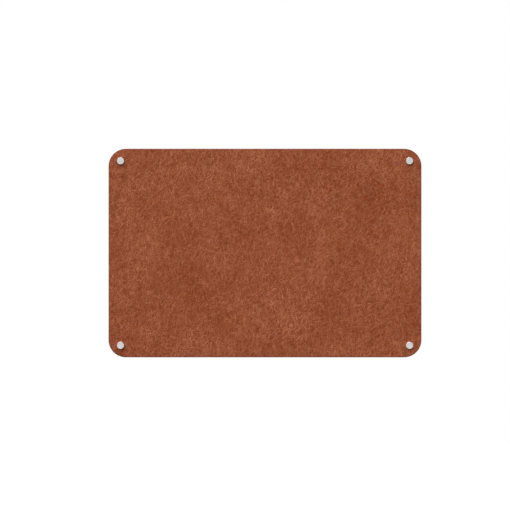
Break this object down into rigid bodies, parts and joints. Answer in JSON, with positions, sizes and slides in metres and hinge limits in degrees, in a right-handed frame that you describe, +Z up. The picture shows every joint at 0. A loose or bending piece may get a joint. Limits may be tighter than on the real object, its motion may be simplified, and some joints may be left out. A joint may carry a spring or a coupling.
{
  "type": "pinboard",
  "caption": "Rust-brown felt pinboard with round corners, held off the wall by a turned metal standoff in each corner whose round cap screws off by hand.",
  "frame": {"origin": "on the wall's face, behind the middle of the board's width and height", "axes": "+X runs along the board to the right as seen from the front, +Y goes into the wall, so the board's front faces -Y, and +Z is up"},
  "size_m": [0.9, 0.0753, 0.6],
  "materials": {
    "felt": "matte",
    "anodised_aluminium": "satin",
    "zinc_steel": "satin",
    "washer_plastic": "satin",
    "plug_nylon": "matte"
  },
  "bodies": {
    "board": {"felt_board": "felt", "wall_plug_top_left": "plug_nylon", "wall_screw_top_left": "zinc_steel", "barrel_top_left": "anodised_aluminium", "rear_washer_top_left": "washer_plastic", "wall_plug_top_right": "plug_nylon", "wall_screw_top_right": "zinc_steel", "barrel_top_right": "anodised_aluminium", "rear_washer_top_right": "washer_plastic", "wall_plug_bottom_left": "plug_nylon", "wall_screw_bottom_left": "zinc_steel", "barrel_bottom_left": "anodised_aluminium", "rear_washer_bottom_left": "washer_plastic", "wall_plug_bottom_right": "plug_nylon", "wall_screw_bottom_right": "zinc_steel", "barrel_bottom_right": "anodised_aluminium", "rear_washer_bottom_right": "washer_plastic"},
    "washer_top_left": {"front_washer_top_left": "washer_plastic"},
    "cap_top_left": {"cap_top_left": "anodised_aluminium", "stud_top_left": "zinc_steel"},
    "washer_top_right": {"front_washer_top_right": "washer_plastic"},
    "cap_top_right": {"cap_top_right": "anodised_aluminium", "stud_top_right": "zinc_steel"},
    "washer_bottom_left": {"front_washer_bottom_left": "washer_plastic"},
    "cap_bottom_left": {"cap_bottom_left": "anodised_aluminium", "stud_bottom_left": "zinc_steel"},
    "washer_bottom_right": {"front_washer_bottom_right": "washer_plastic"},
    "cap_bottom_right": {"cap_bottom_right": "anodised_aluminium", "stud_bottom_right": "zinc_steel"}
  },
  "joints": [
    {"name": "travel_top_left", "type": "slide", "parent": "board", "child": "washer_top_left", "axis": [0, -1, 0], "range_m": [0, 0.0081]},
    {"name": "turn_top_left", "type": "hinge", "parent": "washer_top_left", "child": "cap_top_left", "pos_m": [-0.415, -0.034, 0.265], "axis": [0, -1, 0], "range_deg": [0, 1920]},
    {"name": "travel_top_right", "type": "slide", "parent": "board", "child": "washer_top_right", "axis": [0, -1, 0], "range_m": [0, 0.0081]},
    {"name": "turn_top_right", "type": "hinge", "parent": "washer_top_right", "child": "cap_top_right", "pos_m": [0.415, -0.034, 0.265], "axis": [0, -1, 0], "range_deg": [0, 1920]},
    {"name": "travel_bottom_left", "type": "slide", "parent": "board", "child": "washer_bottom_left", "axis": [0, -1, 0], "range_m": [0, 0.0081]},
    {"name": "turn_bottom_left", "type": "hinge", "parent": "washer_bottom_left", "child": "cap_bottom_left", "pos_m": [-0.415, -0.034, -0.265], "axis": [0, -1, 0], "range_deg": [0, 1920]},
    {"name": "travel_bottom_right", "type": "slide", "parent": "board", "child": "washer_bottom_right", "axis": [0, -1, 0], "range_m": [0, 0.0081]},
    {"name": "turn_bottom_right", "type": "hinge", "parent": "washer_bottom_right", "child": "cap_bottom_right", "pos_m": [0.415, -0.034, -0.265], "axis": [0, -1, 0], "range_deg": [0, 1920]}
  ],
  "couplings": [
    {"joint": "travel_top_left", "follows": "turn_top_left", "m_per_rad": 0.00023873},
    {"joint": "travel_top_right", "follows": "turn_top_right", "m_per_rad": 0.00023873},
    {"joint": "travel_bottom_left", "follows": "turn_bottom_left", "m_per_rad": 0.00023873},
    {"joint": "travel_bottom_right", "follows": "turn_bottom_right", "m_per_rad": 0.00023873}
  ]
}
